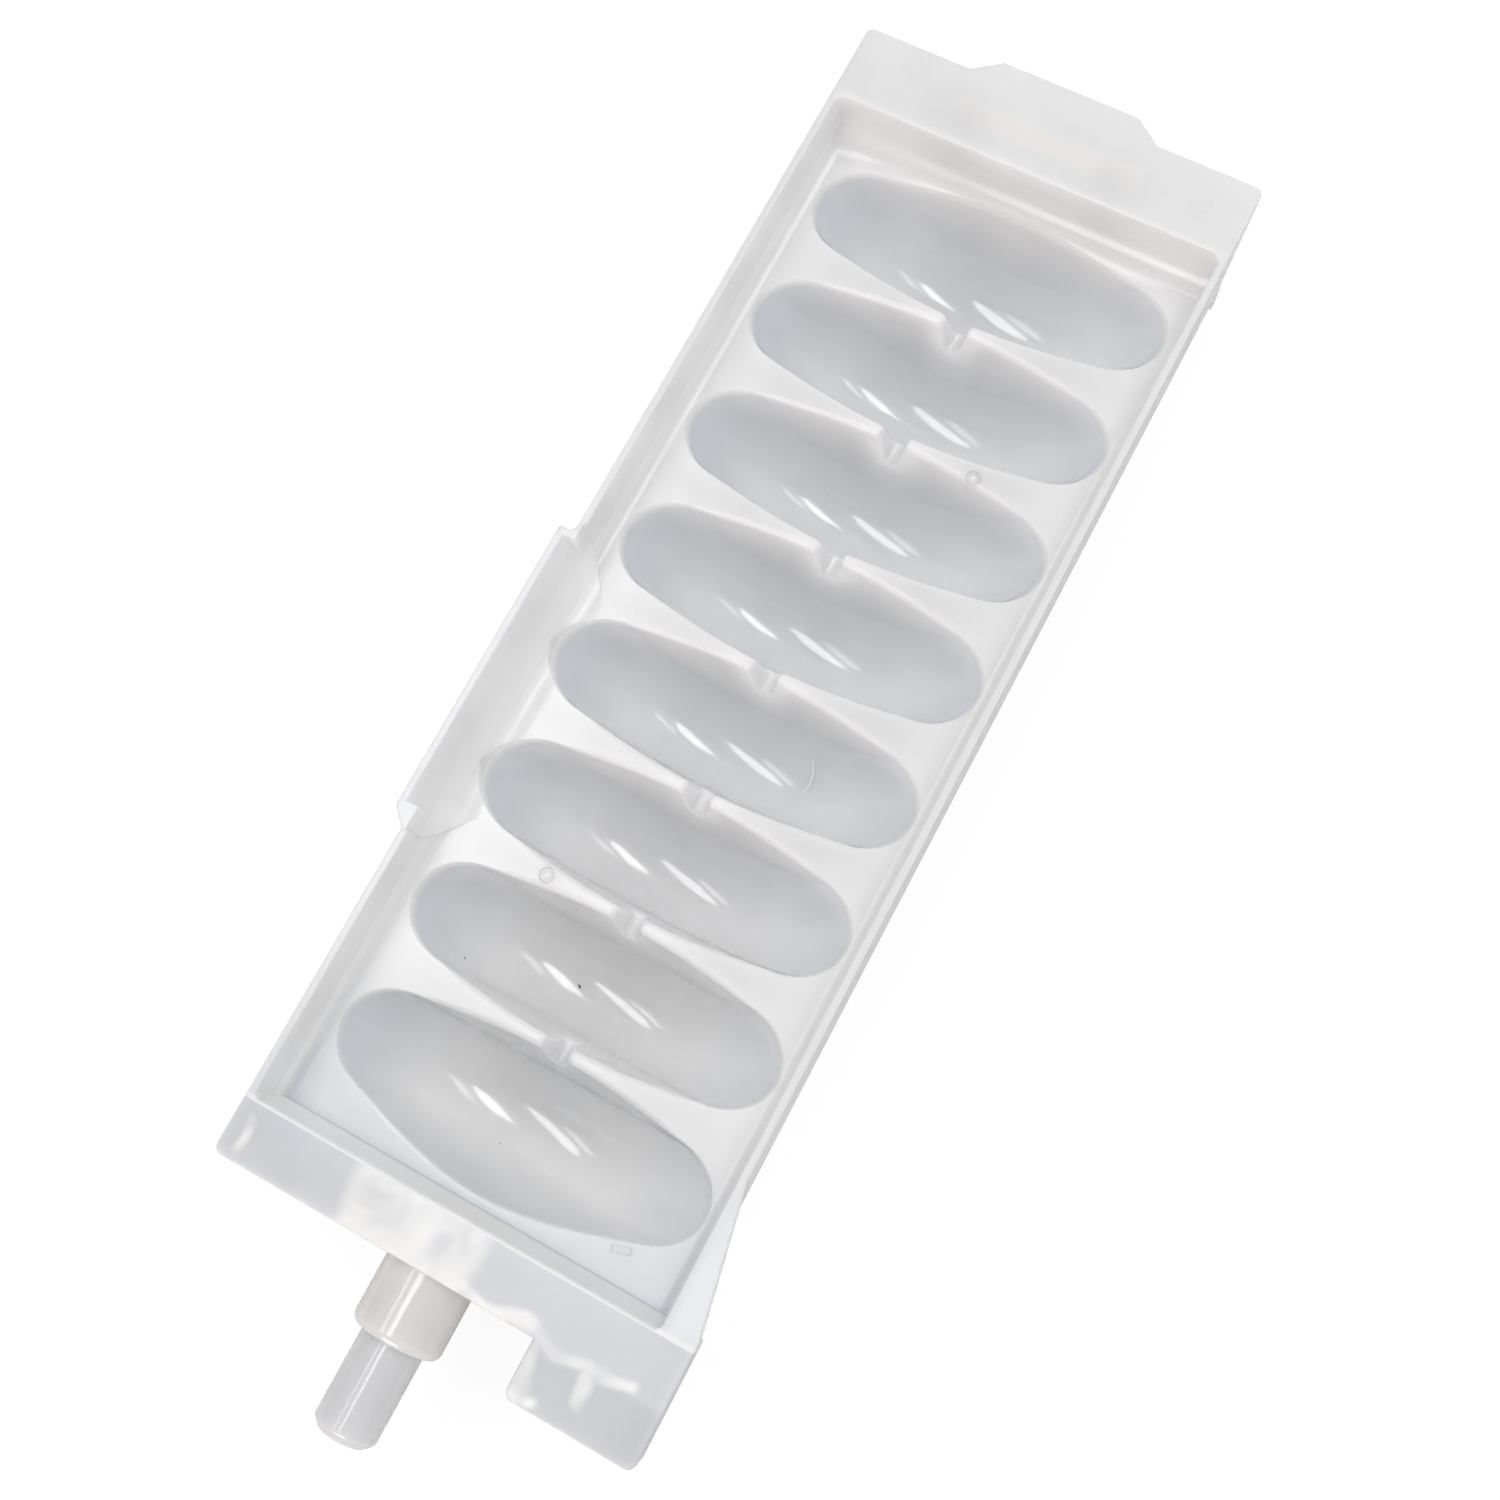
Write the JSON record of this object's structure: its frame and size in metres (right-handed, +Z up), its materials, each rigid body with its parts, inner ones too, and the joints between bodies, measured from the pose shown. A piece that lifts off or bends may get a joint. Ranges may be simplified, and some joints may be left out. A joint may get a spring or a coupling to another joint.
{
  "type": "refrigerator ice cube tray",
  "caption": "Twist-release ice cube tray for an ice maker: a row of boat-shaped cups under a rim, with a drive hub, a pivot pin, a stop tab and a fill ear.",
  "frame": {"origin": "on the pivot axis, at the shoulder where the collar steps down to the pivot pin", "axes": "+X along the pivot axis, out of the pin; +Y across the tray to the stop tab's side; +Z up, out of the cups"},
  "size_m": [0.2665, 0.0876, 0.0348],
  "materials": {
    "tray_plastic": "natural polypropylene, milky and slightly see-through, smooth as moulded"
  },
  "bodies": {
    "root": {"ice_tray": "tray_plastic"}
  },
  "joints": []
}
